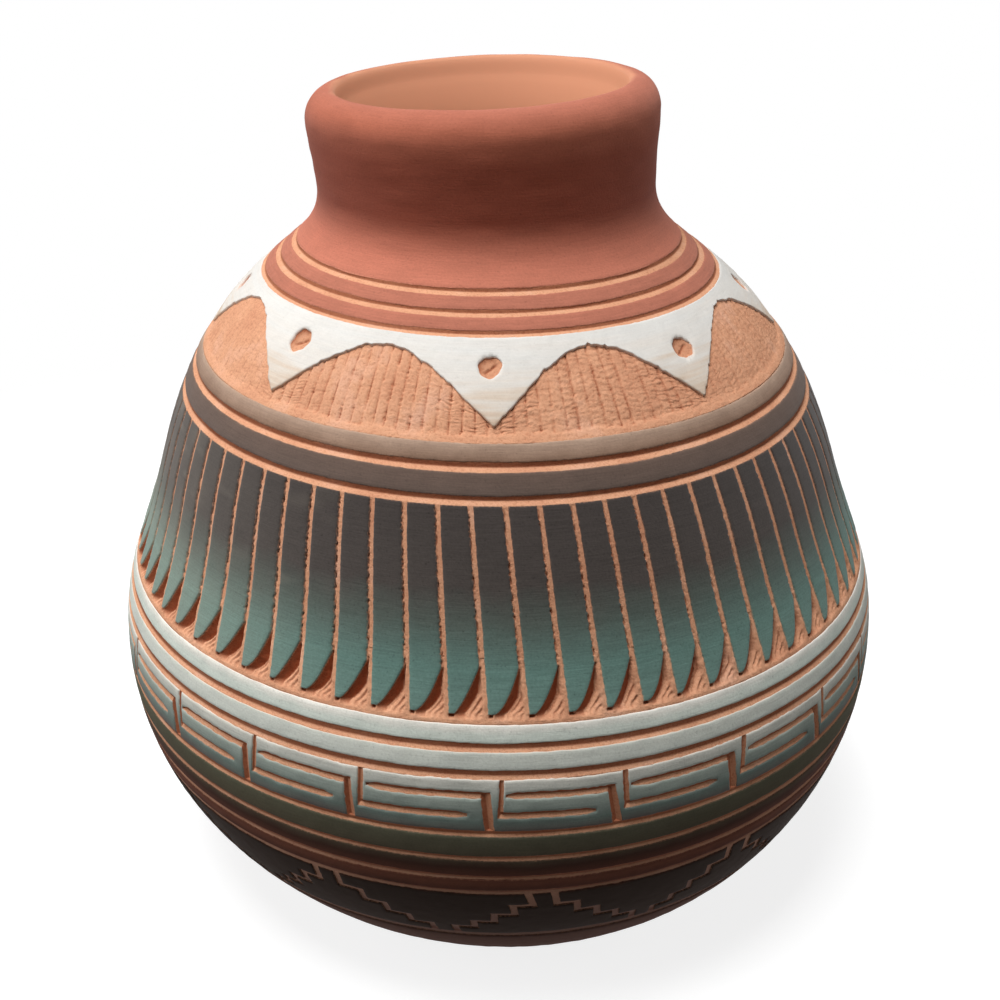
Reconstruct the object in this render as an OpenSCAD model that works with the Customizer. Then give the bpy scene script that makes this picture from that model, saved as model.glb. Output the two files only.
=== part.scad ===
// Etched seed pot: a fired clay vessel and the fields of coloured slip left standing on it between etched lines.
// Millimetres, +Z up, origin in the middle of the base, front of the pattern towards -Y.

/* [Form] */
// Height from the table to the crest of the lip
pot_h = 120.5; // [112:0.5:128]
// Width of the belly, the widest place
belly_d = 116; // [110:1:124]
// Width of the flat base
base_d = 71; // [66:0.5:75]
// Width of the neck at its waist
neck_d = 48; // [45:0.2:52]
// Width of the lip
lip_d = 49.4; // [47:0.2:54]
// Thickness of the lip, outside to inside
lip_t = 5.4; // [4.6:0.1:6.4]
// Width of the throat, the narrowest place inside the neck
throat_d = 32; // [30:0.5:34]
// Thickness of the clay wall under the slip
wall = 4.4; // [3.4:0.1:5.4]

/* [Relief] */
// Depth of the etching, by which the slip fields stand proud of the clay floor
relief = 0.5; // [0.3:0.05:0.7]
// Width of an etched ring
ring_w = 0.95; // [0.7:0.05:1.2]
// Width of an etched stroke in the fret, between feathers and between steps
stroke_w = 0.75; // [0.5:0.05:0.9]

/* [White points] */
// Number of hanging points
point_count = 8; // [7:1:9]
// How far the points are drawn together at the front, in degrees
point_drift = 3.2; // [0:0.1:5]
// Turn of the front point from the front of the pot, in degrees
point_start = 0; // [-2:0.1:2]
// Width of the etched dot in each point
dot_d = 3; // [2:0.1:3.6]

/* [Feathers] */
// Number of feathers around the pot
feather_count = 72; // [60:4:80]
// Turn of the first feather's line from the front of the pot, in degrees
feather_start = 2.2; // [0:0.1:5]
// How far a feather slants to the right from its root to its tip, in degrees
feather_slant = 2; // [0:0.5:4]
// Height over which the gouge rounds a feather's tip
tip_h = 5.4; // [4:0.2:7]

/* [Key fret] */
// Number of keys around the pot
key_count = 22; // [18:1:24]
// Turn of the first key from the front of the pot, in degrees
key_start = 1; // [0:0.1:4]

/* [Steps] */
// Number of stepped pyramids around the pot
step_count = 12; // [10:1:14]
// Turn of the first pyramid from the front of the pot, in degrees
step_start = 6.4; // [0:0.1:10]
// Number of tiers in a pyramid
tiers = 5; // [4:1:6]

/* [Hidden] */
$fn = 96;
front = -90;

// Knots of the outline: radius, height, heading in degrees, reach of the curve below and above the knot
belly_z = 0.32 * pot_h;
flank_z = 0.56 * pot_h;
waist_z = 0.8835 * pot_h;
lip_z = 0.966 * pot_h;
crest_r = lip_d / 2 - 0.66 * lip_t;
KNOTS = [
  [base_d / 2, 0, 24, 0, 0.066 * pot_h],
  [belly_d / 2, belly_z, 90, 0.17 * pot_h, 0.1 * pot_h],
  [0.433 * belly_d, flank_z, 107, 0.124 * pot_h, 0.263 * pot_h],
  [neck_d / 2, waist_z, 90, 0.09 * pot_h, 0.036 * pot_h],
  [lip_d / 2, lip_z, 90, 0.024 * pot_h, 0.02 * pot_h],
  [crest_r, pot_h, 180, 0.37 * lip_t, 0.18 * lip_t],
  [lip_d / 2 - lip_t, 0.978 * pot_h, 240, 0.011 * pot_h, 0]];
CREST = 5;
MOUTH = 6;

// Point on the outline at t, where whole numbers are knots, and the direction it runs in there
function knot(i) = [KNOTS[i][0], KNOTS[i][1]];
function heading(i) = [cos(KNOTS[i][2]), sin(KNOTS[i][2])];
function curve(a, b, c, d, t) = a * pow(1 - t, 3) + 3 * b * t * pow(1 - t, 2) + 3 * c * t * t * (1 - t) + d * pow(t, 3);
function span(i, t) = curve(knot(i), knot(i) + heading(i) * KNOTS[i][4],
  knot(i + 1) - heading(i + 1) * KNOTS[i + 1][3], knot(i + 1), t);
function outline(t) = let (i = min(floor(t), MOUTH - 1)) span(i, t - i);
function along(t) = let (d = outline(min(t + 0.002, MOUTH)) - outline(max(t - 0.002, 0))) d / norm(d);
function sunk(t, depth) = let (d = along(t)) outline(t) - depth * [d[1], -d[0]];

// Place on the outside of the outline at height z, by halving
function at(z, lo = 0, hi = CREST, n = 26) = let (mid = (lo + hi) / 2)
  n == 0 ? mid : outline(mid)[1] < z ? at(z, mid, hi, n - 1) : at(z, lo, mid, n - 1);
function radius(z) = outline(at(z))[0];

// Etched rings by height, and the edges that their width leaves on the fields below and above
function below(z, w = ring_w) = z - w / 2 * along(at(z))[1];
function above(z, w = ring_w) = z + w / 2 * along(at(z))[1];
foot_ring = 0.1245 * pot_h;
step_ring = 0.227 * pot_h;
dark_ring_1 = 0.2508 * pot_h;
dark_ring_2 = 0.2794 * pot_h;
fret_foot = 0.3123 * pot_h;
fret_top = 0.3863 * pot_h;
pale_ring = 0.4153 * pot_h;
tip_ring = 0.4433 * pot_h;
root_ring = 0.6486 * pot_h;
brown_ring = 0.6795 * pot_h;
white_ring = 0.7886 * pot_h;
red_ring = 0.8043 * pot_h;
neck_ring = 0.8209 * pot_h;
wide_w = 1.35 * ring_w;

// Fields of slip as bottom and top heights
foot_field = [0.014 * pot_h, below(foot_ring, wide_w)];
step_field = [above(foot_ring, wide_w), below(step_ring)];
dark_field_3 = [above(step_ring), below(dark_ring_1)];
dark_field_2 = [above(dark_ring_1), below(dark_ring_2)];
dark_field_1 = [above(dark_ring_2), below(fret_foot)];
fret_field = [above(fret_foot), below(fret_top, wide_w)];
pale_field_2 = [above(fret_top, wide_w), below(pale_ring, wide_w)];
pale_field_1 = [above(pale_ring, wide_w), below(tip_ring, wide_w)];
feather_field = [above(tip_ring, wide_w), below(root_ring)];
brown_field_2 = [above(root_ring), below(brown_ring)];
brown_field_1 = [above(brown_ring), 0.7 * pot_h];
white_field = [0.7145 * pot_h, below(white_ring)];
red_field_2 = [above(white_ring), below(red_ring)];
red_field_1 = [above(red_ring), below(neck_ring)];
neck_field = [above(neck_ring), pot_h];

// Levels of the skin: every field edge, with steps of a few millimetres between them
EDGES = concat(foot_field, step_field, dark_field_3, dark_field_2, dark_field_1, fret_field,
  pale_field_2, pale_field_1, feather_field, brown_field_2, brown_field_1, white_field, red_field_2,
  red_field_1, [neck_field[0], waist_z, lip_z]);
level_step = pot_h / 46;
LEVELS = [for (i = [0:len(EDGES) - 2])
  let (n = ceil((EDGES[i + 1] - EDGES[i]) / level_step))
  for (k = [0:n - 1]) EDGES[i] + (EDGES[i + 1] - EDGES[i]) * k / n];
SKIN = [for (z = LEVELS) at(z)];
LIP = [for (t = [4:0.125:MOUTH]) t];

function reverse(list) = [for (i = [len(list) - 1:-1:0]) list[i]];
function places(field) = [for (i = [0:len(LEVELS) - 1])
  if (LEVELS[i] > field[0] - 0.001 && LEVELS[i] < field[1] + 0.001) SKIN[i]];
function section(ts, out = 0, in = relief) =
  concat([for (t = ts) sunk(t, out)], reverse([for (t = ts) sunk(t, in)]));

// A field of slip all the way round, and a piece of one between two angles
module field_ring(field) { rotate_extrude() polygon(section(places(field))); }
module field_piece(field, a0, a1) {
  rotate([0, 0, front + a0]) rotate_extrude(angle = a1 - a0) polygon(section(places(field)));
}
// A cutter through a field between two heights and two angles
module stroke(z0, z1, a0, a1) {
  ts = [for (k = [0:3]) at(z0 + (z1 - z0) * k / 3)];
  rotate([0, 0, front + a0]) rotate_extrude(angle = a1 - a0) polygon(section(ts, -1, relief + 1));
}
// A flat shape, drawn as x to the right and y up, pushed out of the pot's axis at an angle
module push_out(a, from = 0.1 * belly_d, to = 0.7 * belly_d) {
  rotate([0, 0, a]) translate([0, -from, 0]) rotate([90, 0, 0]) linear_extrude(to - from) children();
}
function degrees_for(w, z) = w / radius(z) * 180 / PI;

// Clay: outside at the etched floor, inside a wall's thickness behind it, and a mouth that narrows to the throat
floor_t = 1.3 * wall;
inside_z = floor_t + wall;
inside_top = 0.82 * pot_h;
throat_z = 0.885 * pot_h;
FUNNEL = [for (k = [1:10]) let (m = KNOTS[MOUTH], f = k / 10)
  [throat_d / 2 + (m[0] - throat_d / 2) * pow(1 - f, 2), m[1] + (throat_z - m[1]) * f]];
FLARE = [for (p = [[0.87, 1.016], [0.855, 1.069], [0.84, 1.163], [0.825, 1.306]])
  [p[1] * throat_d / 2, p[0] * pot_h]];
INSIDE = [for (k = [0:26]) sunk(at(inside_z + (inside_top - inside_z) * k / 26), relief + wall)];
module clay_body() {
  color("#d99a72") rotate_extrude() polygon(concat(
    [[0, 0], [base_d / 2 - 2 * relief, 0]],
    [for (t = SKIN) sunk(t, relief)], [for (t = LIP) sunk(t, relief)], FUNNEL, FLARE,
    reverse(INSIDE), [[base_d / 2, floor_t + 0.25 * wall], [base_d / 2 - 0.7 * wall, floor_t], [0, floor_t]]));
}

module neck_slip() {
  color("#a5553f") rotate_extrude() polygon(section(concat(places([neck_field[0], lip_z]), LIP)));
}
module red_ring_upper() { color("#a9583f") field_ring(red_field_1); }
module red_ring_lower() { color("#a9583f") field_ring(red_field_2); }

// White band: hills cut away between hanging points, and a dot through each point
hill_z = 0.7755 * pot_h;
dot_z = 0.763 * pot_h;
function point_angle(i) = let (a = i * 360 / point_count) point_start + a - point_drift * sin(a);
function hill_rise(u) = cos(90 * u);
function hill(half, foot) = [for (k = [-12:12])
  let (z = foot + (hill_z - foot) * hill_rise(abs(k) / 12)) [radius(z) * sin(half * k / 12), z]];
module white_scallop_band() {
  foot = white_field[0] - 0.2;
  color("#efe6d8") difference() {
    field_ring(white_field);
    for (i = [0:point_count - 1]) {
      half = (point_angle(i + 1) - point_angle(i)) / 2;
      edge = radius(foot) * sin(half);
      push_out(point_angle(i) + half) polygon(concat(hill(half, foot), [[edge, foot - relief], [-edge, foot - relief]]));
      push_out(point_angle(i)) translate([0, dot_z]) circle(d = dot_d);
    }
  }
}

module brown_ring_upper() { color("#8d7467") field_ring(brown_field_1); }
module brown_ring_lower() { color("#645149") field_ring(brown_field_2); }

// One feather: slanted sides, with the lower right corner taken by the gouge
feather_pitch = 360 / feather_count;
function slant(z) = feather_slant * (feather_field[1] - z) / (feather_field[1] - feather_field[0]);
function place_on(z, a) = [radius(z) * sin(a), z];
module feather() {
  low = feather_field[0];
  high = feather_field[1];
  half = feather_pitch / 2 - degrees_for(stroke_w, high) / 2;
  left = [for (k = [0:4]) let (z = high + 0.5 - (high - low + 1) * k / 4) place_on(z, slant(z) - half)];
  gouge = [for (k = [0:5])
    let (u = k / 5, z = low - 0.5 + tip_h * u) place_on(z, slant(z) - half + 2 * half * (0.22 + 0.78 * sin(90 * u)))];
  right = [for (k = [1:4]) let (z = low + tip_h + (high + 0.5 - low - tip_h) * k / 4) place_on(z, slant(z) + half)];
  intersection() {
    field_piece(feather_field, -feather_pitch, 2 * feather_pitch);
    push_out(0) polygon(concat(left, gouge, right));
  }
}
module feather_blades() {
  color("#3f5c58") for (i = [0:feather_count - 1]) rotate([0, 0, feather_start + (i + 0.5) * feather_pitch]) feather();
}

module pale_ring_upper() { color("#aab0a9") field_ring(pale_field_1); }
module pale_ring_lower() { color("#969e97") field_ring(pale_field_2); }

// One key: a stroke down from the upper line that turns right, and one up from the lower line that turns left
key_pitch = 360 / key_count;
key_w = stroke_w;
module key() {
  low = fret_field[0];
  high = fret_field[1];
  h = high - low;
  arm = degrees_for(key_w, fret_foot);
  lower_z = low + 0.32 * h;
  upper_z = low + 0.73 * h;
  rise_a = 0.925 * key_pitch - arm;
  stroke(lower_z - key_w / 2, high + 1, 0, arm);
  stroke(lower_z - key_w / 2, lower_z + key_w / 2, 0.5 * arm, 0.78 * key_pitch);
  stroke(low - 1, upper_z + key_w / 2, rise_a, rise_a + arm);
  stroke(upper_z - key_w / 2, upper_z + key_w / 2, 0.03 * key_pitch + arm, rise_a + 0.5 * arm);
}
module key_fret_band() {
  color("#6f8a84") difference() {
    field_ring(fret_field);
    for (i = [0:key_count - 1]) rotate([0, 0, key_start + i * key_pitch]) key();
  }
}

module dark_ring_upper() { color("#3a3f37") field_ring(dark_field_1); }
module dark_ring_middle() { color("#2f2a24") field_ring(dark_field_2); }
module dark_ring_lower() { color("#4a2f28") field_ring(dark_field_3); }

// Steps: a pyramid's tiers widen downwards, and pendants fill what the etched line leaves between two pyramids
step_pitch = 360 / step_count;
line_a = degrees_for(stroke_w, step_field[1]);
tier_h = (step_field[1] - step_field[0]) / tiers;
function tread(k) = step_field[1] - k * tier_h;
function pyramid_half(k) = step_pitch * (0.056 + 0.388 * k / (tiers - 1)) - line_a / 2;
function pendant_half(k) = step_pitch / 2 - line_a - pyramid_half(k);
function riser_end(i) = i == 0 ? step_field[1] + 0.5 : i == tiers ? step_field[0] - 0.5 : tread(i);
function stepped(halves, shift) = [for (k = [0:tiers - 1], end = [0, 1])
  let (i = k + end, z = riser_end(i) + (i % tiers == 0 ? 0 : shift)) place_on(z, halves[k])];
module step_piece(halves, shift) {
  right = stepped(halves, shift);
  intersection() {
    field_piece(step_field, -0.6 * step_pitch, 0.6 * step_pitch);
    push_out(0) polygon(concat(right, reverse([for (p = right) [-p[0], p[1]]])));
  }
}
module step_pyramid() { step_piece([for (k = [0:tiers - 1]) pyramid_half(k)], -stroke_w / 2); }
module step_pendant() { step_piece([for (k = [0:tiers - 1]) pendant_half(k)], stroke_w / 2); }
module step_pyramids() {
  color("#2a211d") for (i = [0:step_count - 1]) rotate([0, 0, step_start + i * step_pitch]) step_pyramid();
}
module step_pendants() {
  color("#1f1b18") for (i = [0:step_count - 1]) rotate([0, 0, step_start + (i + 0.5) * step_pitch]) step_pendant();
}

module foot_slip() { color("#241d19") field_ring(foot_field); }

clay_body();
neck_slip();
red_ring_upper();
red_ring_lower();
white_scallop_band();
brown_ring_upper();
brown_ring_lower();
feather_blades();
pale_ring_upper();
pale_ring_lower();
key_fret_band();
dark_ring_upper();
dark_ring_middle();
dark_ring_lower();
step_pyramids();
step_pendants();
foot_slip();
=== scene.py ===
# %% [markdown]
# # Etched seed pot
# A small round-bellied pot of light clay. It was painted all over with coloured slip, which is clay
# thinned with water, and the pattern was then cut through the slip with small tools, so that the bare
# clay shows in every line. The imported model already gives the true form. This script dresses it: each
# field of slip becomes a thin solid with hand-cut edges, and the clay between them gets the marks of the
# tools.

import bpy
import numpy as np
from mathutils import Matrix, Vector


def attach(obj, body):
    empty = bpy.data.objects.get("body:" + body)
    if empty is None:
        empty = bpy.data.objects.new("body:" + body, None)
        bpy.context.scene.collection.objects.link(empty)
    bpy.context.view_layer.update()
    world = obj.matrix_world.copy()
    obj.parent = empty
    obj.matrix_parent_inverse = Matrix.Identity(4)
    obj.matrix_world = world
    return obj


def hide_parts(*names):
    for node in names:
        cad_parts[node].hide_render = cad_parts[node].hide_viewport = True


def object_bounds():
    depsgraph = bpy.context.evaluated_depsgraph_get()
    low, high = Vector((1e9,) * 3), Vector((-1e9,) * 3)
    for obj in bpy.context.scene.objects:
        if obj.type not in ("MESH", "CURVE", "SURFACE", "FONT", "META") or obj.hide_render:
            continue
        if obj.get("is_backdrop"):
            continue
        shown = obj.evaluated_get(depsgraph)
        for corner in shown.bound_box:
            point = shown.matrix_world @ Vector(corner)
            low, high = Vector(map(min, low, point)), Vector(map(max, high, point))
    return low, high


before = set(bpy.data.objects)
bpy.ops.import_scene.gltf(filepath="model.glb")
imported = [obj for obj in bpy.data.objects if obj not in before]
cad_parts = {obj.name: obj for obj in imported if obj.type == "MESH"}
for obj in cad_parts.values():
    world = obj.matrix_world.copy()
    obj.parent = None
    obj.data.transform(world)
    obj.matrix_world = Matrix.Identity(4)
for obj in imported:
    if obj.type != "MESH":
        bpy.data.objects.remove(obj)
cad_low, cad_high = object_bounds()
print("nodes in the frame:", len(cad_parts))

# %% [markdown]
# ## Sizes
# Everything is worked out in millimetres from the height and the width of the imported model, and turned
# into metres when a mesh is made. Angles go round the pot from its front, which faces the camera, and
# grow to the right. Relief is the thickness of the slip.

# %% Height and width of the pot
MM = 0.001
POT_H = (cad_high.z - cad_low.z) / MM
BELLY_D = (cad_high.x - cad_low.x) / MM
RELIEF = 0.5
print(f"pot {BELLY_D:.1f} mm wide, {POT_H:.1f} mm high")

# %% [markdown]
# ## Outline
# A thrown pot is a turned form, so half of its section says it all. The section could be a table of
# points, but a few knots with smooth curves between them are easier to read: where the curve passes,
# which way it heads there, and how far it keeps that heading below and above.

# %% Knots of the outline: radius, height, heading in degrees, reach below, reach above
LIP_T = 0.0466 * BELLY_D
LIP_R = 0.2129 * BELLY_D
KNOTS = np.array([
    [0.306 * BELLY_D, 0.0, 24, 0.0, 0.066 * POT_H],
    [0.5 * BELLY_D, 0.32 * POT_H, 90, 0.17 * POT_H, 0.1 * POT_H],
    [0.433 * BELLY_D, 0.56 * POT_H, 107, 0.124 * POT_H, 0.263 * POT_H],
    [0.2069 * BELLY_D, 0.8835 * POT_H, 90, 0.09 * POT_H, 0.036 * POT_H],
    [LIP_R, 0.966 * POT_H, 90, 0.024 * POT_H, 0.02 * POT_H],
    [LIP_R - 0.66 * LIP_T, POT_H, 180, 0.37 * LIP_T, 0.18 * LIP_T],
    [LIP_R - LIP_T, 0.978 * POT_H, 240, 0.011 * POT_H, 0.0],
])


def outline(t):
    """Radius and height at place t: a cubic curve from knot to knot, which leaves each along its heading."""
    i = np.minimum(t.astype(int), len(KNOTS) - 2)
    f = (t - i)[:, None]
    turn = np.radians(KNOTS[:, 2])
    way = np.stack([np.cos(turn), np.sin(turn)], 1)
    a, d = KNOTS[i][:, :2], KNOTS[i + 1][:, :2]
    b = a + KNOTS[i][:, 4:5] * way[i]
    c = d - KNOTS[i + 1][:, 3:4] * way[i + 1]
    return a * (1 - f) ** 3 + 3 * b * f * (1 - f) ** 2 + 3 * c * f**2 * (1 - f) + d * f**3


print("knots of the outline:", len(KNOTS))

# %% Run of the outline in millimetres, with the outward direction at each place
PER_KNOT = 1000
SPANS = len(KNOTS) - 1
CREST_AT = (SPANS - 1) * PER_KNOT
SKIN = outline(np.linspace(0, SPANS, SPANS * PER_KNOT + 1))
RUN = np.concatenate([[0], np.cumsum(np.linalg.norm(np.diff(SKIN, axis=0), axis=1))])
WAY = np.gradient(SKIN, axis=0)
WAY /= np.linalg.norm(WAY, axis=1, keepdims=True)
OUT = np.stack([WAY[:, 1], -WAY[:, 0]], 1)
CREST = RUN[CREST_AT]


def rise(share):
    """Run of the outline, from the base, at which the outside reaches a share of the pot's height."""
    return np.interp(share * POT_H, SKIN[: CREST_AT + 1, 1], RUN[: CREST_AT + 1])


def radius(s):
    """Radius of the outside at run s."""
    return np.interp(s, RUN, SKIN[:, 0])


print(f"outline runs {CREST:.1f} mm from the base to the crest of the lip")

# %% [markdown]
# ## Made by hand
# The real pot isn't perfectly true: its neck leans a little to the left and its mouth slopes. The model
# in the frame is a true turned form, so the lean is added here, in the one function that places every
# point of every piece. Small unevenness comes from grain, whose last numbers are its cells round the pot,
# its height in mm and its seed.

# %% Place a point on the pot
LEAN_AT = [0.0, 0.2, 0.4, 0.6, 0.75, 0.85, 0.93, 1.0]
LEAN_BY = [2.0, 0.2, 0.39, -0.45, -0.59, -1.61, -2.08, -2.33]
LEAN = np.polyfit(LEAN_AT, LEAN_BY, 4)
SLOPE = 0.0406
GRAIN_ROWS = 97


def ease(f):
    """Smooth step of a share from 0 to 1: flat at both ends."""
    return f * f * (3 - 2 * f)


def blend(x, low, high):
    """0 below low, 1 above high, and a smooth step between them."""
    return ease(np.clip((x - low) / (high - low), 0, 1))


def by_hand(r, z, angle):
    """Point at radius r, height z and angle, shifted sideways by the lean and lifted by the mouth's slope."""
    x, y = r * np.sin(np.radians(angle)), -r * np.cos(np.radians(angle))
    lift = SLOPE * x * blend(z, 0.8 * POT_H, POT_H)
    return np.stack([x + np.polyval(LEAN, z / POT_H), y, z + lift], -1)


def section_at(s, depth):
    """Radius and height at run s of the outline, in from the skin by depth."""
    return [np.interp(s, RUN, SKIN[:, k]) - depth * np.interp(s, RUN, OUT[:, k]) for k in (0, 1)]


def pot(angle, s, depth):
    """Point on the pot: round by angle, up the outline by run s, and in from the skin by depth."""
    return by_hand(*section_at(s, depth), angle)


def grain(angle, s, cells, size, seed):
    """Random lumps from -1 to 1: numbers on a lattice of cells round the pot and rows of a size, blended."""
    table = np.random.default_rng(seed).uniform(-1, 1, (GRAIN_ROWS, cells))
    u, v = angle / 360 * cells, s / size
    i, j = np.floor(u).astype(int), np.floor(v).astype(int)
    f, g = ease(u - i), ease(v - j)
    i, k, j, n = i % cells, (i + 1) % cells, j % GRAIN_ROWS, (j + 1) % GRAIN_ROWS
    lower = table[j, i] * (1 - f) + table[j, k] * f
    upper = table[n, i] * (1 - f) + table[n, k] * f
    return lower * (1 - g) + upper * g


def even_angles(columns):
    """One row of even angles all round the pot, from its back."""
    return (np.arange(columns) * 360 / columns - 180)[None, :]


print("lean at the lip:", round(float(np.polyval(LEAN, 1.0)), 2), "mm")

# %% [markdown]
# ## Camera
# The photograph looks down on the pot from close by. Place, direction and focal length come from fitting
# the outline and the etched rings to the photograph. The picture's middle lies a little below the lens
# axis, hence the small shift.

# %% Camera
PITCH, YAW, ROLL = 0.4231, -0.0093, 0.003
EYE = np.array([0.0190 * BELLY_D, -1.754 * BELLY_D, 1.2946 * POT_H]) * MM


def stand(name, data, axes, place):
    """New object at a place in metres, with three directions as its own x, y and z axes."""
    thing = bpy.data.objects.new(name, data)
    bpy.context.collection.objects.link(thing)
    rows = [[*row, e] for row, e in zip(np.stack(axes, 1), place)]
    thing.matrix_world = Matrix(rows + [[0, 0, 0, 1]])
    return thing


ahead = np.array([np.sin(YAW) * np.cos(PITCH), np.cos(YAW) * np.cos(PITCH), -np.sin(PITCH)])
level = np.array([np.cos(YAW), -np.sin(YAW), 0.0])
right = np.cos(ROLL) * level + np.sin(ROLL) * np.cross(level, ahead)
lens = bpy.data.cameras.new("camera")
lens.sensor_width = 36
lens.lens = 52.09
lens.shift_y = -0.05
lens.clip_start = 0.01
bpy.context.scene.camera = stand("camera", lens, [right, np.cross(right, ahead), -ahead], EYE)
print("camera", np.round(EYE / MM, 1), "mm")

# %% [markdown]
# ## Colours and nodes
# Colours are written as they look on a screen and turned into the linear numbers that the renderer works
# with. One small function adds a node, so a material reads as a list of what it is made of.

# %% Helpers for materials


def hue(code):
    """Linear colour of an sRGB hex code: channels are divided by 12.92 below 0.04045, raised to 2.4 above."""
    c = np.array([int(code[i : i + 2], 16) / 255 for i in (1, 3, 5)])
    c = np.where(c <= 0.04045, c / 12.92, ((c + 0.055) / 1.055) ** 2.4)
    return (*(float(x) for x in c), 1.0)


def add(tree, kind, inputs, stops=(), **settings):
    """Add a node, set its properties, give each input a value or a link, and set the stops of a ramp."""
    node = tree.nodes.new("ShaderNode" + kind)
    for key, value in settings.items():
        setattr(node, key, value)
    for key, value in inputs.items():
        if isinstance(value, bpy.types.NodeSocket):
            tree.links.new(value, node.inputs[key])
        else:
            node.inputs[key].default_value = value
    for i, (place, code) in enumerate(stops):
        ends = node.color_ramp.elements
        stop = ends[i] if i < 2 else ends.new(place)
        stop.position, stop.color = place, hue(code)
    return node.outputs


def new_material(name):
    """Empty material with its node tree."""
    material = bpy.data.materials.new(name)
    material.use_nodes = True
    material.node_tree.nodes.clear()
    return material, material.node_tree


print("red slip in linear numbers:", [round(x, 3) for x in hue("#b9735d")])

# %% [markdown]
# ## Bare clay
# Low-fired clay is matt and a little sandy: light orange, with paler and browner clouds a few millimetres
# wide, and a grain of about a third of a millimetre that shows in the raking light. Towards the foot it
# is mixed towards a darker brown. Two marks on the points steer it: smoothed, where a wet hand has closed
# the grain, and a mark of painted shade, which darkens and reddens the walls and hollows of the cuts.

# %% Material: bare clay
CLAY = "#e6ab87"
SMOOTH_CLAY = "#d99877"
CLAY_CLOUD, CLAY_SAND = 7.0, 0.32
FOOT_DARK_TOP, FOOT_DARK_LOW = 0.3, 0.17


def bare_clay():
    """Light clay with clouds, sandy grain where it was cut, a darker foot, and painted shade in the cuts."""
    material, tree = new_material("bare_scraped_clay")
    place = add(tree, "TexCoord", {})["Object"]
    wide = {"Vector": place, "Scale": 1 / (CLAY_CLOUD * MM), "Detail": 4.0, "Roughness": 0.6}
    clouds = add(tree, "TexNoise", wide)["Fac"]
    fine = {"Vector": place, "Scale": 1 / (CLAY_SAND * MM), "Detail": 3.0, "Roughness": 0.6}
    sand = add(tree, "TexNoise", fine)["Fac"]
    smoothed = add(tree, "Attribute", {}, attribute_name="smoothed")["Fac"]
    raw = add(tree, "Math", {0: 1.0, 1: smoothed}, operation="SUBTRACT")["Value"]
    stops = [(0.3, "#da9c7a"), (0.55, CLAY), (0.75, "#ebb699")]
    tint = add(tree, "ValToRGB", {"Fac": clouds}, stops=stops)["Color"]
    specks = add(tree, "ValToRGB", {"Fac": sand}, stops=[(0.3, "#c49a84"), (0.5, "#ffffff")])["Color"]
    share = add(tree, "Math", {0: raw, 1: 0.4}, operation="MULTIPLY")["Value"]
    mixed = add(tree, "Mix", {0: share, 6: tint, 7: specks}, data_type="RGBA", blend_type="MULTIPLY")[2]
    mixed = add(tree, "Mix", {0: smoothed, 6: mixed, 7: hue(SMOOTH_CLAY)}, data_type="RGBA")[2]
    # Below a share of the height the clay is mixed towards a darker brown
    height = add(tree, "SeparateXYZ", {"Vector": place})["Z"]
    reach = {"Value": height, 1: FOOT_DARK_TOP * POT_H * MM, 2: FOOT_DARK_LOW * POT_H * MM}
    low = add(tree, "MapRange", reach)["Result"]
    mixed = add(tree, "Mix", {0: low, 6: mixed, 7: hue("#937368")}, data_type="RGBA")[2]
    # Painted shade: a mark that darkens and reddens the clay in the walls and hollows of cuts, where shade
    # falls
    deep = add(tree, "Attribute", {}, attribute_name="deep")["Fac"]
    dark = {0: deep, 6: mixed, 7: hue("#ae8673")}
    mixed = add(tree, "Mix", dark, data_type="RGBA", blend_type="MULTIPLY")[2]
    grit = add(tree, "Math", {0: sand, 1: raw}, operation="MULTIPLY")["Value"]
    bump = add(tree, "Bump", {"Height": grit, "Strength": 0.6, "Distance": 0.2 * MM})["Normal"]
    skin = {"Base Color": mixed, "Roughness": 0.88, "IOR": 1.5, "Specular IOR Level": 0.15, "Normal": bump}
    add(tree, "OutputMaterial", {"Surface": add(tree, "BsdfPrincipled", skin)["BSDF"]})
    return material


clay_finish = bare_clay()
print("made", clay_finish.name)

# %% [markdown]
# ## Slip
# Slip dries matt, like chalky paint. It was laid on with a brush while the pot turned, which leaves fine
# level streaks, and several colours were sprayed so that one fades into the next. So its colour is a ramp
# up the height of the field, shifted a little by clouds and, where asked, by broad strokes, and broken by
# streaks, specks and small pits, whose shade is painted in. The clay shows through where a cut edge has
# worn, and a pale film, partly dust and partly painted sheen, lies where a mark says so. The finest
# streaks of a brush would not show, so they are drawn 0.18 mm tall, which is about a pixel of the render.

# %% Material: slip
STREAK_L, STREAK_H = 4.0, 0.18
SWEEP_L, SWEEP_H = 14.0, 0.8
SLIP_CLOUD, SLIP_SAND = 5.0, 0.3
DUST_SHEEN = "#d6cab6"


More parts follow.
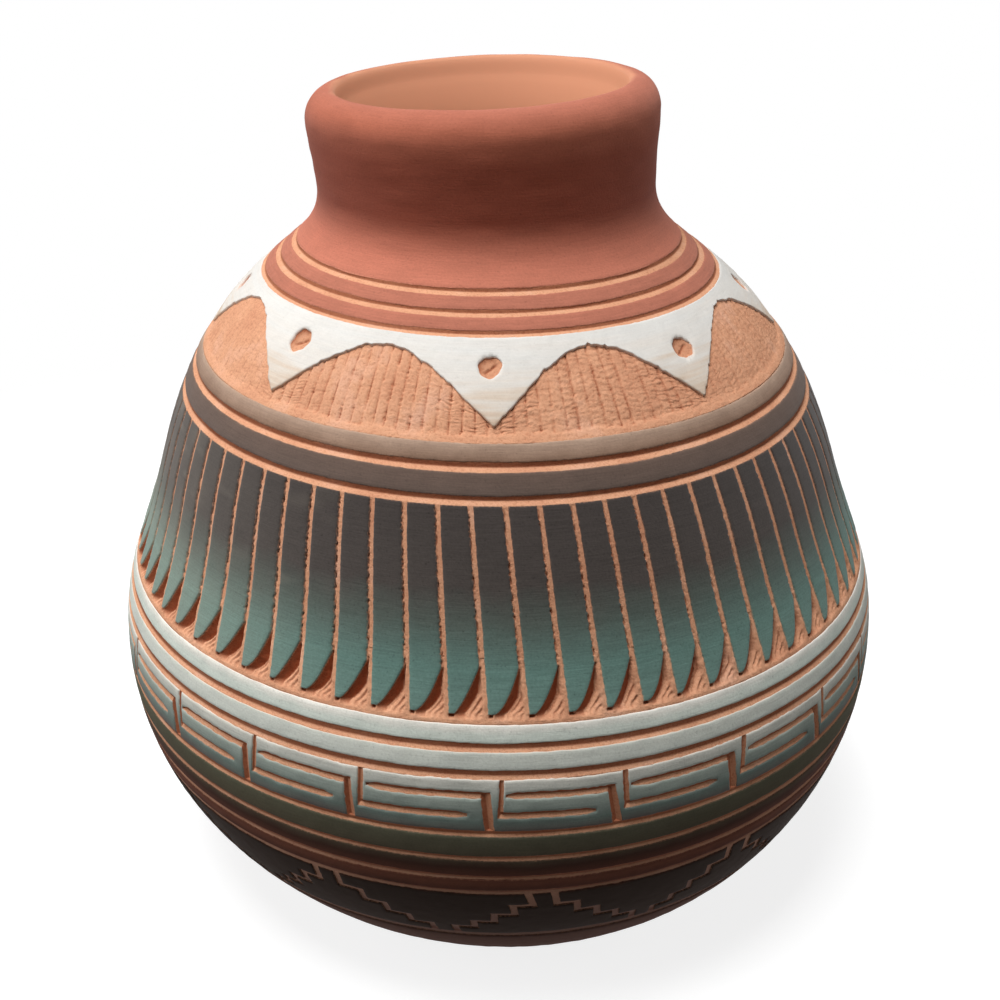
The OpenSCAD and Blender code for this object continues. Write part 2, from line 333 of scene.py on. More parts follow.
def slip(name, low, high, shades, streak=0.06, cloud=0.06, speck=0.05, gloss=0.15, dust=0.06, drift=0.6,
         sweep=0.0, wiped=False):
    """Matt slip whose shades, between two shares of the height, fade into each other under brush streaks."""
    material, tree = new_material(name)
    place = add(tree, "TexCoord", {})["Object"]
    size = (1 / (STREAK_L * MM), 1 / (STREAK_L * MM), 1 / (STREAK_H * MM))
    level = add(tree, "Mapping", {"Vector": place, "Scale": size})["Vector"]
    brush = add(tree, "TexNoise", {"Vector": level, "Scale": 1.0, "Detail": 3.0, "Roughness": 0.65})["Fac"]
    wide = {"Vector": place, "Scale": 1 / (SLIP_CLOUD * MM), "Detail": 3.0, "Roughness": 0.55}
    clouds = add(tree, "TexNoise", wide)["Fac"]
    sand = add(tree, "TexNoise", {"Vector": place, "Scale": 1 / (SLIP_SAND * MM), "Detail": 2.0})["Fac"]
    shifts = [(clouds, drift)]
    if sweep:
        size = (1 / (SWEEP_L * MM), 1 / (SWEEP_L * MM), 1 / (SWEEP_H * MM))
        broad = add(tree, "Mapping", {"Vector": place, "Scale": size})["Vector"]
        shifts.append((add(tree, "TexNoise", {"Vector": broad, "Scale": 1.0, "Detail": 2.0})["Fac"], sweep))
    height = add(tree, "SeparateXYZ", {"Vector": place})["Z"]
    for noise, most in shifts:
        shift = add(tree, "MapRange", {"Value": noise, 3: -most * MM, 4: most * MM})["Result"]
        height = add(tree, "Math", {0: height, 1: shift}, operation="ADD")["Value"]
    share = add(tree, "MapRange", {"Value": height, 1: low * POT_H * MM, 2: high * POT_H * MM})["Result"]
    colour = add(tree, "ValToRGB", {"Fac": share}, stops=shades)["Color"]
    tone = 1.0
    # Streaks, clouds and specks vary the tone, and the last row darkens small pits with painted shade
    for noise, start, end, dark, light in (
        (brush, 0.3, 0.7, 1 - streak, 1 + streak),
        (clouds, 0.3, 0.7, 1 - cloud, 1 + cloud),
        (sand, 0.3, 0.7, 1 - speck, 1 + speck),
        (sand, 0.22, 0.33, 1 - 4 * speck, 1.0),
    ):
        share = add(tree, "MapRange", {"Value": noise, 1: start, 2: end, 3: dark, 4: light})["Result"]
        tone = add(tree, "Math", {0: tone, 1: share}, operation="MULTIPLY")["Value"]
    colour = add(tree, "Mix", {0: 1.0, 6: colour, 7: tone}, data_type="RGBA", blend_type="MULTIPLY")[2]
    cut = add(tree, "Attribute", {}, attribute_name="wear")["Fac"]
    chips = add(tree, "Math", {0: cut, 1: sand}, operation="MULTIPLY")["Value"]
    worn = add(tree, "MapRange", {"Value": chips, 1: 0.3, 2: 0.75, 3: 0.0, 4: 0.35})["Result"]
    colour = add(tree, "Mix", {0: worn, 6: colour, 7: hue(CLAY)}, data_type="RGBA")[2]
    # Pale film where the mark says: partly dust, partly painted sheen of the light from the left
    dusty = add(tree, "Attribute", {}, attribute_name="dusty")["Fac"]
    colour = add(tree, "Mix", {0: dusty, 6: colour, 7: hue(DUST_SHEEN)}, data_type="RGBA")[2]
    if wiped:
        coat = add(tree, "Attribute", {}, attribute_name="coat")["Fac"]
        colour = add(tree, "Mix", {0: coat, 6: hue(SMOOTH_CLAY), 7: colour}, data_type="RGBA")[2]
    relief = add(tree, "Math", {0: brush, 1: sand}, operation="ADD")["Value"]
    bump = add(tree, "Bump", {"Height": relief, "Strength": 0.35, "Distance": 0.08 * MM})["Normal"]
    skin = {"Base Color": colour, "Roughness": 0.8, "IOR": 1.5, "Specular IOR Level": gloss, "Normal": bump,
            "Sheen Weight": dust, "Sheen Roughness": 0.6}
    add(tree, "OutputMaterial", {"Surface": add(tree, "BsdfPrincipled", skin)["BSDF"]})
    return material


print(f"brush streaks are {STREAK_L} mm long and {STREAK_H} mm tall")

# %% [markdown]
# ## Fields
# Etched rings part one field of slip from the next. A ring has a height and a width, and a field runs
# from the upper edge of one ring to the lower edge of the next, measured along the outline. Each ring has
# its own depth in mm. Its deepest line lies near its middle, and higher up in the rings of the shoulder.

# %% Etched rings, as runs of the outline
RING_W = 0.95
WIDE_W = 1.35 * RING_W
THIN_W = 0.85 * RING_W
BOLD_W = 1.25
NECK_W = 1.1
STROKE_W = 0.75
LINE_W = 0.9 * STROKE_W
LAP = 0.25
MIDDLE = 0.48


def ring(share, width=RING_W):
    """Lower and upper edge of an etched ring at a share of the height."""
    s = rise(share)
    return s - width / 2, s + width / 2


foot_ring = ring(0.1245, WIDE_W)
step_ring = ring(0.2232, THIN_W)
dark_ring_1 = ring(0.2478, THIN_W)
dark_ring_2 = ring(0.278, THIN_W)
fret_foot = ring(0.3123)
fret_top = ring(0.3831, WIDE_W)
pale_ring = ring(0.4121, WIDE_W)
tip_ring = ring(0.4401, WIDE_W)
root_ring = ring(0.6495, BOLD_W)
brown_ring = ring(0.6793, BOLD_W)
white_ring = ring(0.7886)
red_ring = ring(0.8043, NECK_W)
neck_ring = ring(0.8209, NECK_W)
RINGS = {foot_ring: 0.3, step_ring: 0.26, dark_ring_1: 0.26, dark_ring_2: 0.26, fret_foot: 0.28,
         fret_top: 0.34, pale_ring: 0.34, root_ring: 0.42, brown_ring: 0.45, white_ring: 0.3, red_ring: 0.32,
         neck_ring: 0.32}
VALLEY = {neck_ring: 0.7, red_ring: 0.7, white_ring: 0.6, brown_ring: 0.6, root_ring: 0.6}


def valley(low, high):
    """Run of the deepest line of a ring."""
    return low + VALLEY.get((low, high), MIDDLE) * (high - low)


print("etched rings:", len(RINGS))

# %% [markdown]
# ## Meshes
# A grid of points turns into four-sided faces by joining neighbours. The faces of a field that stands on
# the clay are its skin, its walls down to the clay and its underside, so that each piece is a closed
# solid.

# %% Helpers for meshes


def grid_faces(rows, columns, wrap_rows=False):
    """Faces of a grid that wraps round by columns, seen from outside when rows go up and columns right."""
    i = np.arange(rows * columns).reshape(rows, columns)
    i = np.concatenate([i, i[:, :1]], 1)
    i = np.concatenate([i, i[:1]], 0) if wrap_rows else i
    return np.stack([i[:-1, :-1], i[:-1, 1:], i[1:, 1:], i[1:, :-1]], -1).reshape(-1, 4)


def make_piece(name, points, faces, material, node, slot, **marks):
    """Mesh piece from points in mm and lists of faces; marks are numbers on the points for the material."""
    points = points.reshape(-1, 3)
    used, corners = np.unique(np.concatenate([f.ravel() for f in faces]), return_inverse=True)
    sizes = np.concatenate([np.full(len(f), f.shape[1]) for f in faces])
    mesh = bpy.data.meshes.new(name)
    mesh.vertices.add(len(used))
    mesh.vertices.foreach_set("co", (points[used] * MM).astype(np.float32).ravel())
    mesh.loops.add(len(corners))
    mesh.loops.foreach_set("vertex_index", corners.astype(np.int32).ravel())
    mesh.polygons.add(len(sizes))
    mesh.polygons.foreach_set("loop_start", (np.cumsum(sizes) - sizes).astype(np.int32))
    mesh.polygons.foreach_set("use_smooth", np.ones(len(sizes), bool))
    for key, values in marks.items():
        mark = mesh.attributes.new(key, "FLOAT", "POINT")
        mark.data.foreach_set("value", np.asarray(values, np.float32).ravel()[used])
    mesh.update(calc_edges=True)
    mesh.validate()
    mesh.materials.append(material)
    piece = bpy.data.objects.new(name, mesh)
    bpy.context.collection.objects.link(piece)
    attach(piece, "root")
    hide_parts(node)
    print(f"{name}: {int((sizes - 2).sum())} triangles")
    return piece


def lines(edges, step, rim=0.14):
    """Grid lines: one on each edge, one a rim's width to either side of it, and even ones in between."""
    edges = np.sort(np.asarray(edges))
    marks = np.concatenate([edges, edges[1:] - rim, edges[:-1] + rim])
    marks = np.unique(np.round(marks[(marks >= edges[0]) & (marks <= edges[-1])], 5))
    counts = np.maximum(np.ceil(np.diff(marks) / step).astype(int), 1)
    parts = [a + (b - a) * np.arange(n) / n for a, b, n in zip(marks, marks[1:], counts)]
    return np.concatenate(parts + [marks[-1:]])


print("a grid of 2 by 4 points has", len(grid_faces(2, 4)), "faces")

# %% [markdown]
# ## Clay wall
# The vessel itself. Its outside is the floor of the etching. A ring was cut with a pointed tool, so its
# section is a V: the wall that looks down is dark and the one that looks up catches the light, as in
# every ring of the photograph. The section goes once round the wall, from the middle of the base up the
# outside, over the lip and down the inside, and is turned into a closed solid. The mouth narrows like a
# funnel to the throat. Where hills, gouges and fret get a finer grid of their own, the wall lies deeper,
# out of their way.

# %% Outside of the wall
# The wall sinks under the finer grids, on a slope as wide as the brink; a ring's edges are brim and rims
SINK = 1.3
BRINK = 0.3
STEP_FLOOR, FEATHER_FLOOR = 0.2, 0.78
BRIM, LOW_RIM, HIGH_RIM = 0.14, 0.1, 0.13
LIP_BARE = 0.94
INSIDE_LIP = 12
scrape_low, scrape_high = rise(0.7), rise(0.783)
gouge_low, gouge_high = tip_ring[0], rise(0.503)
fret_low, fret_high = fret_foot[1], fret_top[0]


def etched(s):
    """Depth of the clay under the slip at run s: shallow where fine lines were cut, and a V in the rings."""
    depth = np.full_like(s, RELIEF)
    depth = np.where((s > foot_ring[1]) & (s < step_ring[0]), STEP_FLOOR, depth)
    depth = np.where((s > gouge_low) & (s < root_ring[0]), FEATHER_FLOOR, depth)
    for (low, high), cut in RINGS.items():
        corners = [low - LAP, low, valley(low, high), high, high + LAP]
        floor = np.interp(s, corners, [BRIM, LOW_RIM, cut, HIGH_RIM, BRIM])
        depth = np.where((s >= low - LAP) & (s <= high + LAP), floor, depth)
    return depth


outer = lines(np.concatenate([[0.4], np.array(list(RINGS)).ravel(), [CREST]]), 1.6)
fine = [np.concatenate([np.linspace(low, high, 11), [low - LAP, high + LAP]]) for low, high in RINGS]
sunken = [(scrape_low, scrape_high), (gouge_low, gouge_high - 0.7), (fret_low, fret_high)]
close_by = np.array([-0.03, 0, 0.1, 0.2, BRINK])
fine += [low + close_by for low, high in sunken] + [high - close_by for low, high in sunken]
outer = np.unique(np.round(np.concatenate([outer] + fine), 3))
depth = etched(outer)
for low, high in sunken:
    depth += SINK * blend(outer, low, low + BRINK) * (1 - blend(outer, high - BRINK, high))
outer = np.concatenate([outer, np.linspace(CREST + 0.15, RUN[-1], INSIDE_LIP)])
depth = np.append(depth, np.full(INSIDE_LIP, RELIEF))
depth = depth * (1 - LIP_BARE * blend(outer, CREST - 0.3, CREST + 0.6))
side = np.stack(section_at(outer, depth), 1)
print("rows up the outside:", len(outer))

# %% Mouth, inside and base of the wall
WALL = 4.4
WELL_Z = 1.3 * WALL
throat_r, throat_z = 0.138 * BELLY_D, 0.885 * POT_H
mouth_r, mouth_z = KNOTS[-1, :2]
base_r = KNOTS[0, 0]
k = np.arange(1, 21) / 20
funnel = np.stack([throat_r + (mouth_r - throat_r) * (1 - k) ** 2, mouth_z + (throat_z - mouth_z) * k], 1)
flare_out = np.array([[1.016, 0.87], [1.069, 0.855], [1.163, 0.84], [1.306, 0.825]]) * [throat_r, POT_H]
inside = np.stack(section_at(rise(np.linspace(0.82, 0.085, 60)), RELIEF + WALL), 1)
bottom = np.array([[0.35 * base_r, 0], [0.7 * base_r, 0], [base_r - 1.2, 0]])
well = np.array([[base_r, 1.55 * WALL], [base_r - 0.7 * WALL, WELL_Z], [0.5 * base_r, WELL_Z]])
section = np.concatenate([bottom, side, funnel, flare_out, inside, well])
print("points round the section:", len(section))

# %% Clay wall
TURNS = 240
rows = len(section)
points = by_hand(section[:, :1], section[:, 1:], even_angles(TURNS)).reshape(-1, 3)
points = np.concatenate([points, by_hand(np.zeros(2), np.array([0, WELL_Z]), np.zeros(2))])
first, last = np.arange(TURNS), (rows - 1) * TURNS + np.arange(TURNS)
under = np.stack([np.full(TURNS, rows * TURNS), np.roll(first, -1), first], 1)
over = np.stack([last, np.roll(last, -1), np.full(TURNS, rows * TURNS + 1)], 1)
smoothed = np.repeat(np.arange(rows) > len(bottom) + (outer < CREST).sum(), TURNS)
# Painted shade on the wall of each ring that looks down
deep = np.zeros(rows)
for low, high in RINGS:
    line, wide = valley(low, high), high - low
    turns_dark = blend(outer, line - 0.16 * wide, line + 0.02 * wide)
    deep[len(bottom) :][: len(outer)] += 0.8 * turns_dark * (outer <= high + LAP)
make_piece("clay_wall", points, [grid_faces(rows, TURNS), under, over], clay_finish, "clay_body", "clay",
           smoothed=np.append(smoothed, [0, 1]), deep=np.append(np.repeat(deep, TURNS), [0, 0]))

# %% [markdown]
# ## Fields that go all the way round
# The rings of slip and the coat on the neck are bands turned round the pot. Their edges were cut freehand
# against the turning pot, so they waver by a tenth of a millimetre and carry small nicks. A band's
# section is its skin, with softened edges, and the underside, which is seated a little way into the clay.

# %% Bands of slip
# A bevel softens the edges, a flare widens the foot of the walls, and lumps keep the skin from being true
BEVEL = 0.07
FLARE = 0.1
LUMP = 0.03
EDGE_W, WEAR_W = 0.2, 0.3
SEAT = RELIEF + 0.05
ACROSS = np.array([0, 0.05, 0.14, 0.3, 0.5, 0.7, 0.86, 0.95, 1.0])[:, None]


def cut_edge(angle, seed):
    """Waver of a hand-cut edge in mm: slow drift, small shake and fine nicks."""
    waves = ((0.09, 17), (0.05, 61), (0.045, 420))
    return sum(size * grain(angle, 0.5, cells, 1, seed + k) for k, (size, cells) in enumerate(waves))


def band(name, low, high, material, slot, seed, columns=1080):
    """Closed ring of slip from run low to high: skin between two wavering edges, two rows on the clay."""
    angle = even_angles(columns)
    low, high = low + cut_edge(angle, seed), high + cut_edge(angle, seed + 5)
    s = low + (high - low) * ACROSS
    edge = np.minimum(s - low, high - s)
    inward = blend(edge, 0, EDGE_W)
    depth = BEVEL * (1 - inward) + LUMP * inward * grain(angle, s, 240, 1.1, seed + 9)
    s = np.concatenate([s, high + FLARE, low - FLARE])
    depth = np.concatenate([depth, np.full((2, columns), SEAT)])
    wear = np.concatenate([1 - blend(edge, 0, WEAR_W), np.ones((2, columns))])
    faces = [grid_faces(len(s), columns, wrap_rows=True)]
    return make_piece(name, pot(angle, s, depth), faces, material, name, slot, wear=wear)


# Iron gives this slip its dull brick red
red_slip = slip("red_iron_slip", 0.78, 0.84, [(0, "#b9735d"), (1, "#b9745e")], streak=0.09)
band("red_ring_upper", red_ring[1], neck_ring[0], red_slip, "red_slip", 10)
band("red_ring_lower", white_ring[1], red_ring[0], red_slip, "red_slip", 30)

# %% Brown bands above the feathers
# Grey-brown, paler in the upper band and palest along its top
shades = [(0, "#64554d"), (0.55, "#6d5a50"), (0.63, "#7e5e4a"), (1, "#b69a86")]
brown_slip = slip("grey_brown_slip", 0.645, 0.70, shades, streak=0.09)
band("brown_ring_upper", brown_ring[1], scrape_low, brown_slip, "brown_slip", 50)
band("brown_ring_lower", root_ring[1], brown_ring[0], brown_slip, "brown_slip", 70)

# %% Pale bands under the feathers
# Chalky white with a breath of blue and green, whitest along the upper edge
shades = [(0, "#d0d6cd"), (0.4, "#d7d9cf"), (0.6, "#d0dad0"), (0.78, "#d4dad0"), (0.9, "#e9e6dc"),
          (0.97, "#f4f1e8")]
pale_slip = slip("pale_blue_grey_slip", 0.387, 0.437, shades, streak=0.04, speck=0.06)
band("pale_ring_upper", pale_ring[1], tip_ring[0], pale_slip, "pale_slip", 90)
band("pale_ring_lower", fret_top[1], pale_ring[0], pale_slip, "pale_slip", 110)

# %% Dark bands under the fret, and the foot
# Near-black brown that swallows the light, reddish at the foot and in one ring, olive under the fret
# At the foot the slip is painted lighter too, for the light that is thrown up from below
shades = [(0, "#66473d"), (0.35, "#553b33"), (0.42, "#2c211c"), (0.7, "#281e19"), (0.77, "#6c4336"),
          (0.85, "#402a23"), (0.91, "#564f41"), (1, "#5d5c4c")]
dark_slip = slip("dark_brown_black_slip", 0, 0.31, shades, gloss=0.05, dust=0.0)
band("dark_ring_upper", dark_ring_2[1], fret_foot[0], dark_slip, "dark_slip", 130)
band("dark_ring_middle", dark_ring_1[1], dark_ring_2[0], dark_slip, "dark_slip", 150)
band("dark_ring_lower", step_ring[1], dark_ring_1[0], dark_slip, "dark_slip", 170)
band("foot_slip", rise(0.014), foot_ring[0], dark_slip, "dark_slip", 190)

# %% [markdown]
# ## Neck
# The red coat covers the neck and the outside of the lip and was wiped off unevenly along the crest, so
# it thins out there and the light clay shows. The mark called coat says how much slip is left.

# %% Neck
OVER_LIP = 2.2
BACK_ROWS = 24
neck_low, neck_high = neck_ring[1], CREST + OVER_LIP
columns = 720
angle = even_angles(columns)
f = np.concatenate([[0, 0.002, 0.006], np.linspace(0.012, 1, 78)])[:, None]
s = neck_low + cut_edge(angle, 210) * (1 - f) + (neck_high - neck_low) * f
waver = 0.05 * grain(angle, s, 40, 1.6, 215) + 0.008 * grain(angle, s, 24, 0.5, 216)
depth = BEVEL * (1 - blend(s - neck_low, 0, 0.25)) + waver * (1 - blend(s, CREST, CREST + 0.6))
depth = depth + 0.1 * blend(s, CREST + 0.4, CREST + 2.4)
wear = 1 - blend(s - neck_low, 0, WEAR_W)
wiped_at = CREST + 0.25 + 0.65 * np.cos(np.radians(angle)) + 0.3 * grain(angle, s, 40, 3.0, 217)
coat = 1 - blend(s - wiped_at, -0.8, 0.7)
back_s = np.append(neck_high, np.linspace(CREST - 0.8, neck_low - FLARE, BACK_ROWS))[:, None]
back_depth = np.append(0.4, np.full(BACK_ROWS, RELIEF + 0.02))[:, None]
s = np.concatenate([s, back_s + 0 * angle])
depth = np.concatenate([depth, back_depth + 0 * angle])
wear, coat = (np.concatenate([mark, np.ones((len(back_s), columns))]) for mark in (wear, coat))
# The same iron red, with painted shade in the hollow of the neck, where the lip's shadow falls
shades = [(0, "#cb7e66"), (0.2, "#c5765f"), (0.4, "#924a37"), (0.7, "#994f3b"), (0.9, "#b4674f"),
          (1, "#bb715b")]
neck_slip = slip("red_iron_slip_on_neck", 0.81, 1.0, shades, streak=0.05, cloud=0.05, wiped=True)
make_piece("neck_slip", pot(angle, s, depth), [grid_faces(len(s), columns, wrap_rows=True)],
           neck_slip, "neck_slip", "red_slip", wear=wear, coat=coat)

# %% [markdown]
# ## Fields cut into shapes
# The white points, the fret and the steps are left standing where the tool did not pass. They are laid
# out on a grid whose lines follow the cuts: a cell is kept or cut away, walls go down to the clay
# wherever a kept cell borders on a cut one, and the points on that border are lowered a little, which
# softens the edge.

# %% Helpers for cut fields


def corner_cells(cells):
    """The four cells that meet at each grid point: upper right, lower right, upper left and lower left."""
    upper, lower = cells[1:], cells[:-1]
    return np.stack([upper, lower, np.roll(upper, 1, 1), np.roll(lower, 1, 1)])


def cell_middles(x):
    """Mean of the four corners of each cell of a grid that wraps round."""
    x = (x + np.roll(x, -1, 1)) / 2
    return (x[:-1] + x[1:]) / 2


def standing(name, angle, s, keep, material, slot, seed, shake=0.05):
    """Closed solids over the kept cells of a grid that wraps round: skin, underside and walls along cuts."""
    rows, columns = angle.shape
    n = rows * columns
    cells = np.pad(keep, ((1, 1), (0, 0)))
    near = corner_cells(cells)
    border = near.any(0) & ~near.all(0)
    upper_right, lower_right, upper_left, lower_left = near.astype(float)
    away_u = upper_left + lower_left - upper_right - lower_right
    away_v = lower_left + lower_right - upper_left - upper_right
    reach = border * FLARE / np.maximum(np.hypot(away_u, away_v), 1)
    per_mm = np.degrees(1 / radius(s))
    angle = angle + border * shake * per_mm * grain(angle, s, 700, 0.5, seed)
    s = s + border * shake * grain(angle, s, 700, 0.5, seed + 1)
    top = pot(angle, s, np.where(border, BEVEL, LUMP * grain(angle, s, 300, 1.1, seed + 2)))
    low = pot(angle + reach * per_mm * away_u, s + reach * away_v, SEAT)
    quads = grid_faces(rows, columns).reshape(rows - 1, columns, 4)
    a, b, c, d = np.moveaxis(quads, -1, 0)
    faces = [quads[keep], quads[keep][:, ::-1] + n]
    for p, q, beyond in ((a, b, cells[:-2]), (b, c, np.roll(keep, -1, 1)), (c, d, cells[2:]),
                         (d, a, np.roll(keep, 1, 1))):
        p, q = p[keep & ~beyond], q[keep & ~beyond]
        faces.append(np.stack([q, p, p + n, q + n], 1))
    wear = np.concatenate([border.astype(float).ravel(), np.ones(n)])
    points = np.concatenate([top.reshape(-1, 3), low.reshape(-1, 3)])
    return make_piece(name, points, [np.concatenate(faces)], material, name, slot, wear=wear)


print("walls of a cut field flare by", FLARE, "mm")

# %% [markdown]
# ## White points
# White slip hangs from the shoulder in eight points, with a dot cut through each. Between the points the
# clay is scraped bare in rounded hills. The points were spaced by eye and stand a little closer at the
# front. The grid's lower edge follows the hills and is bitten by the tool; cells inside a dot are dropped
# and the points on their border are drawn to a wavy circle.

# %% Places of the white points
POINTS = 8
DRIFT = 3.2
TIP_TURN = np.array([0.9, -0.7, 0.4, -0.5, 0.6, -0.3, 0.5, -0.8])
DOT_TURN = np.array([-0.4, 1.0, 0.3, -0.6, 0.5, -0.2, 0.8, 1.1])
DOT_LIFT = np.array([0.0, -0.9, 0.2, -0.3, 0.1, -0.5, 0.3, 0.0])
DOT_R = np.array([1.5, 1.6, 1.55, 1.5, 1.6, 1.5, 1.6, 1.7])
tip_run, hill_run, dot_run = rise(0.7145), rise(0.7755), rise(0.763)


def point_angle(i):
    """Angle of point i: even spacing, drawn together at the front by a sine, off by the slip of a hand."""
    a = i * 360 / POINTS
    return a - DRIFT * np.sin(np.radians(a)) + TIP_TURN[i % POINTS]


point_numbers = np.arange(-2 * POINTS, 2 * POINTS + 1)
point_angles = point_angle(point_numbers)


def point_share(angle):
    """Number of the point at an angle, with the share of the way to the next one."""
    return np.interp(angle, point_angles, point_numbers)


def hill_edge(angle):
    """Run of the hills' outline: a cosine arch between two neighbouring points."""
    share = point_share(angle)
    u = 2 * np.abs(share - np.floor(share) - 0.5)
    return tip_run + (hill_run - tip_run) * np.cos(np.pi / 2 * u)


print("white points at", np.round(point_angle(np.arange(POINTS)), 1), "degrees")

# %% White points
columns = 1152
share = np.arange(columns) * POINTS / columns - POINTS / 2 + 0.004
angle = np.interp(share, point_numbers, point_angles)[None, :]
f = lines([0, 1], 0.032, 0.02)[:, None]
low = hill_edge(angle) + 0.16 * grain(angle, 0.5, 157, 1, 300) + 0.13 * grain(angle, 0.5, 520, 1, 301)
low = low + 0.28 * blend(grain(angle, 0.5, 300, 1, 302), 0.25, 0.7)
high = white_ring[0] + cut_edge(angle, 303)
s = low + (high - low) * f
angle = angle + 0 * s
nearest = np.round(point_share(angle)).astype(int)
dot = nearest % POINTS
across = np.radians(angle - point_angle(nearest) - DOT_TURN[dot]) * radius(s)
along = s - dot_run - DOT_LIFT[dot]
keep = np.hypot(cell_middles(across), cell_middles(along)) > DOT_R[dot[:-1]]
near = corner_cells(np.pad(keep, ((1, 1), (0, 0)), constant_values=True))
rim = near.any(0) & ~near.all(0)
turn = np.arctan2(along, across)
waves = ((0.07, 2, 1.7), (0.05, 3, 2.9), (0.03, 7, 1.0))
wavy = DOT_R[dot] * (1 + sum(size * np.sin(n * turn + phase * dot) for size, n, phase in waves))
pull = np.where(rim, wavy / np.maximum(np.hypot(across, along), 0.01), 1)
angle = angle + np.degrees(across * (pull - 1) / radius(s))
s = s + along * (pull - 1)
# White clay slip, chalky, creamy towards the points where the brush left it thin
shades = [(0, "#d3b79d"), (0.25, "#e0d0bf"), (0.5, "#e6e0d8"), (1, "#e5e3de")]
white_slip = slip("white_kaolin_slip", 0.71, 0.79, shades, streak=0.03, cloud=0.03, speck=0.02, sweep=5.0)
standing("white_scallop_band", angle, s, keep, white_slip, "white_slip", 310, shake=0.02)

# %% [markdown]
# ## Bowls of the dots
# Each dot was drilled with the tip of a round tool, which leaves a shallow bowl with one slanting scratch
# across it. A bowl is a small round dish: rings of points that grow from its middle, closed by a plain
# underside.

# %% Bowls of the dots
SPOKES = 32
BOWL_ROWS = 12
BOWL_W = 1.22
UNDER = RELIEF + SINK + 0.1


def strips(count, rows, around):
    """Faces of many closed strips of the same grid: the skin round each one and a cap at both of its ends."""
    starts = (np.arange(count) * rows * around)[:, None, None]
    caps = np.stack([np.arange(around)[::-1], (rows - 1) * around + np.arange(around)])
    return [(grid_faces(rows, around) + starts).reshape(-1, 4), (caps + starts).reshape(-1, around)]


i = np.arange(POINTS)[:, None, None]
f = np.append(np.linspace(0.1, 1, BOWL_ROWS), [1, 0.1])[None, :, None]
turn = -np.arange(SPOKES)[None, None, :] * 2 * np.pi / SPOKES
x, y = BOWL_W * DOT_R[i] * f * np.cos(turn), BOWL_W * DOT_R[i] * f * np.sin(turn)
tilt = np.radians(38 + 9 * np.sin(5.0 * i))
off = (y + 0.15) * np.cos(tilt) - x * np.sin(tilt)
inner_part = 1 - blend(np.hypot(x, y), 0.5 * DOT_R[i], 0.85 * DOT_R[i])
scratch = 0.22 * np.exp(-((off / 0.17) ** 2)) * inner_part
s = dot_run + DOT_LIFT[i] + y
angle = point_angle(i) + DOT_TURN[i] + np.degrees(x / radius(s))
depth = 0.16 + 0.42 * (1 - f**2) + scratch + 0.03 * grain(angle, s, 600, 0.4, 320)
depth[:, BOWL_ROWS:] = UNDER
# Painted shade on the upper left wall of each bowl and in its scratch
deep = 0.2 + blend(f, 0.3, 0.9) * np.clip(1.1 * (y - x) / DOT_R[i], 0, 0.7) + 3.0 * scratch
make_piece("dot_bowls", pot(angle, s, depth), strips(POINTS, f.shape[1], SPOKES),
           clay_finish, "clay_body", "clay", deep=deep)

# %% [markdown]
# ## Scraped hills
# Between the white points the slip was scraped away with a small loop tool in short upward strokes. They
# leave near-vertical columns parted by seams of little chatter pits, deepest under the white edge, and a
# smooth ledge below. Each hill has its own vigour, and in some the strokes overlap like woven scallops.

# %% Lanes of the scraped hills
LANES = 157
PER_LANE = 9
HILL_ROWS = 66
LANE_TABLE = 997
OVERLAP = 0.02
VIGOUR = np.array([1.0, 0.5, 0.8, 0.9, 1.0, 0.8, 0.5, 1.0])
WOVEN = np.array([0.8, 0.9, 0.4, 0.2, 0.4, 0.6, 0.7, 0.12])


def carve(name, angle, s, depth, deep, under=UNDER):
    """Clay piece from a grid that wraps round: its skin, and two rows at the depth called under close it."""
    angle, s = (np.concatenate([a, a[-1:], a[:1]]) for a in (angle, s))
    depth = np.concatenate([depth, np.full((2, s.shape[1]), under)])
    make_piece(name, pot(angle, s, depth), [grid_faces(*s.shape, wrap_rows=True)],
               clay_finish, "clay_body", "clay", deep=np.concatenate([deep, deep[:2]]))


angle = even_angles(LANES * PER_LANE)
top = hill_edge(angle) + 0.75
s = scrape_low - OVERLAP + (top - scrape_low + OVERLAP) * np.linspace(0, 1, HILL_ROWS)[:, None]
angle = angle + 0 * s
# A lane is one column of strokes, which leans and wanders; own is a random number for each lane
lean = 0.03 + 0.08 * grain(angle, 0.5, 8, 1, 330)
lane = (angle - lean * (s - scrape_low)) * LANES / 360 + 0.22 * grain(angle, s, 60, 30.0, 331)
lane_no = np.floor(lane)
in_lane = lane - lane_no
from_seam = np.minimum(in_lane, 1 - in_lane)
own = np.random.default_rng(332).uniform(0, 1, LANE_TABLE)[lane_no.astype(int) % LANE_TABLE]
print(LANES, "lanes of strokes, the longest", round(float((top - scrape_low).max()), 1), "mm")

# %% Scraped hills
# A tick is one stroke up a lane; pits lie along the seams, and scallops where the strokes overlap
seam = np.exp(-((from_seam / 0.13) ** 2))
tick = (s - scrape_low) / (0.6 + 0.25 * own) + 3 * own + 0.45 * grain(angle, s, 300, 0.8, 333)
pit = blend(np.sin(2 * np.pi * tick), -0.1, 0.9)
crumbs = blend(grain(angle, s, 330, 0.8, 336), 0.2, 0.7)
scraped = blend(s + 0.35 * grain(angle, s, 120, 9.0, 337), scrape_low + 0.9, scrape_low + 1.4)
hill = np.floor(point_share(angle)).astype(int) % POINTS
scraped, woven = scraped * VIGOUR[hill], WOVEN[hill]
scallop = tick - np.floor(tick)
ripple = np.sin(2 * np.pi * (s / 0.42 + 1.2 * grain(angle, s, 160, 1.2, 339)))
chatter = blend(ripple, -0.2, 0.9) * blend(grain(angle, s, 240, 0.6, 338), -0.4, 0.5)
cuts = seam * (0.12 + 0.36 * pit * crumbs) * (1 - 0.45 * woven)
